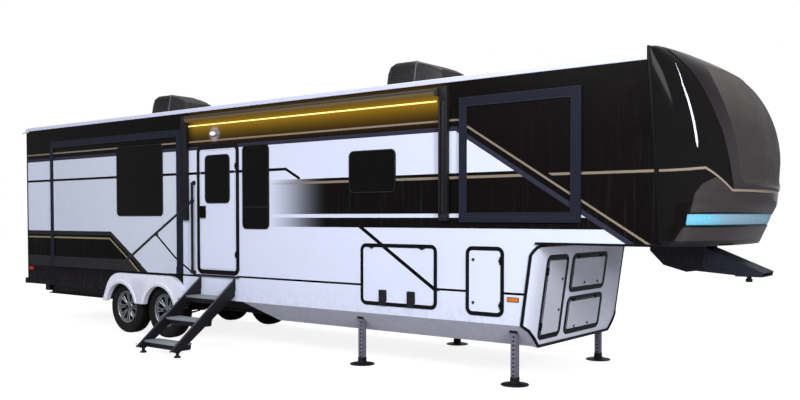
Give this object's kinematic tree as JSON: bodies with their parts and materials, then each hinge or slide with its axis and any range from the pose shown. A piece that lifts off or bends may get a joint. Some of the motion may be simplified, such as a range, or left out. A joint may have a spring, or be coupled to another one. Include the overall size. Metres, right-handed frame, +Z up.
{
  "type": "fifth wheel trailer",
  "caption": "Fifth wheel travel trailer with slide rooms, entry door and steps, storage hatches, rounded nose cap, pin box and tandem wheels, standing on its landing legs.",
  "frame": {"origin": "on the kingpin's axis, at the kingpin's lower end", "axes": "+X towards the nose, +Y to the left, +Z up; the kingpin points down along -Z"},
  "size_m": [13.12, 3.8483, 4.097],
  "materials": {
    "chassis": "satin",
    "underbelly": "matte",
    "side_skin": "gloss",
    "rear_skin": "gloss",
    "roof_membrane": "matte",
    "cap": "gloss",
    "cap_inlay": "satin",
    "lamp_lens": "gloss",
    "front_skin": "gloss",
    "floor_wood": "matte",
    "glazing": "gloss",
    "equipment": "satin",
    "vent_lid": "satin",
    "trim": "satin",
    "light_strip": "gloss",
    "frames": "satin",
    "steps": "matte",
    "rails": "gloss",
    "fender": "gloss",
    "axle_steel": "matte",
    "spring_steel": "matte",
    "tyre_rubber": "matte",
    "wheel_alloy": "satin",
    "leg_steel": "satin",
    "room_skin": "gloss",
    "door_skin": "gloss",
    "amber_lens": "gloss",
    "ladder_alloy": "satin"
  },
  "bodies": {
    "trailer": {"chassis_frame": "chassis", "pin_box": "chassis", "belly_pan": "underbelly", "belly_skirts": "side_skin", "main_floor": "floor_wood", "front_deck": "floor_wood", "storage_floor": "floor_wood", "right_wall": "side_skin", "left_wall": "side_skin", "rear_wall": "rear_skin", "roof": "roof_membrane", "front_cap": "cap", "cap_panel": "cap_inlay", "cap_lamp": "lamp_lens", "front_wall": "front_skin", "window_panes": "glazing", "air_conditioners": "equipment", "roof_vents": "vent_lid", "awning": "trim", "awning_light": "light_strip", "door_frames": "frames", "entry_steps": "steps", "handrails": "rails", "fenders": "fender", "axles": "axle_steel", "leaf_springs": "spring_steel", "landing_legs": "leg_steel", "marker_lamps": "amber_lens", "ladder": "ladder_alloy"},
    "wheel_rear_right": {"tyre_rear_right": "tyre_rubber", "rim_rear_right": "wheel_alloy"},
    "wheel_front_right": {"tyre_front_right": "tyre_rubber", "rim_front_right": "wheel_alloy"},
    "wheel_rear_left": {"tyre_rear_left": "tyre_rubber", "rim_rear_left": "wheel_alloy"},
    "wheel_front_left": {"tyre_front_left": "tyre_rubber", "rim_front_left": "wheel_alloy"},
    "entry_door_leaf": {"entry_door": "door_skin", "entry_pane": "glazing"},
    "room_rear_right": {"slide_rear_right": "room_skin", "slide_pane_right": "glazing"},
    "room_front_right": {"slide_front_right": "room_skin"},
    "room_left": {"slide_left": "room_skin", "slide_panes_left": "glazing"},
    "hatch_large": {"hatch_right_large": "door_skin"},
    "hatch_small": {"hatch_right_small": "door_skin"},
    "hatch_left_side": {"hatch_left": "door_skin"},
    "nose_door_tall": {"front_door_tall": "door_skin"},
    "nose_door_upper": {"front_door_upper": "door_skin"},
    "nose_door_lower": {"front_door_lower": "door_skin"}
  },
  "joints": [
    {"name": "spin_rear_right", "type": "hinge", "parent": "trailer", "child": "wheel_rear_right", "pos_m": [-9.71, -1.09, -0.793], "axis": [0, 1, 0], "continuous": true},
    {"name": "spin_front_right", "type": "hinge", "parent": "trailer", "child": "wheel_front_right", "pos_m": [-8.682, -1.09, -0.793], "axis": [0, 1, 0], "continuous": true},
    {"name": "spin_rear_left", "type": "hinge", "parent": "trailer", "child": "wheel_rear_left", "pos_m": [-9.71, 1.09, -0.793], "axis": [0, 1, 0], "continuous": true},
    {"name": "spin_front_left", "type": "hinge", "parent": "trailer", "child": "wheel_front_left", "pos_m": [-8.682, 1.09, -0.793], "axis": [0, 1, 0], "continuous": true},
    {"name": "open_entry_door", "type": "hinge", "parent": "trailer", "child": "entry_door_leaf", "pos_m": [-6.905, -1.267, 0.767], "axis": [0, 0, 1], "range_deg": [0, 160]},
    {"name": "extend_rear_right", "type": "slide", "parent": "trailer", "child": "room_rear_right", "axis": [0, -1, 0], "range_m": [0, 0.86]},
    {"name": "extend_front_right", "type": "slide", "parent": "trailer", "child": "room_front_right", "axis": [0, -1, 0], "range_m": [0, 0.6]},
    {"name": "extend_left", "type": "slide", "parent": "trailer", "child": "room_left", "axis": [0, 1, 0], "range_m": [0, 0.86]},
    {"name": "lift_hatch_large", "type": "hinge", "parent": "trailer", "child": "hatch_large", "pos_m": [-3.9, -1.267, 0.327], "axis": [-1, 0, 0], "range_deg": [0, 95]},
    {"name": "open_hatch_small", "type": "hinge", "parent": "trailer", "child": "hatch_small", "pos_m": [-2.4, -1.267, -0.038], "axis": [0, 0, 1], "range_deg": [0, 120]},
    {"name": "lift_hatch_left", "type": "hinge", "parent": "trailer", "child": "hatch_left_side", "pos_m": [-3.9, 1.267, 0.327], "axis": [1, 0, 0], "range_deg": [0, 95]},
    {"name": "open_nose_tall", "type": "hinge", "parent": "trailer", "child": "nose_door_tall", "pos_m": [-1.98523, -0.949, -0.22294], "axis": [-0.1392, 0, -0.9903], "range_deg": [0, 110]},
    {"name": "lift_nose_upper", "type": "hinge", "parent": "trailer", "child": "nose_door_upper", "pos_m": [-1.92204, 0.145, 0.22664], "axis": [0, -1, 0], "range_deg": [0, 90]},
    {"name": "lift_nose_lower", "type": "hinge", "parent": "trailer", "child": "nose_door_lower", "pos_m": [-1.99581, 0.145, -0.2982], "axis": [0, -1, 0], "range_deg": [0, 90]}
  ]
}
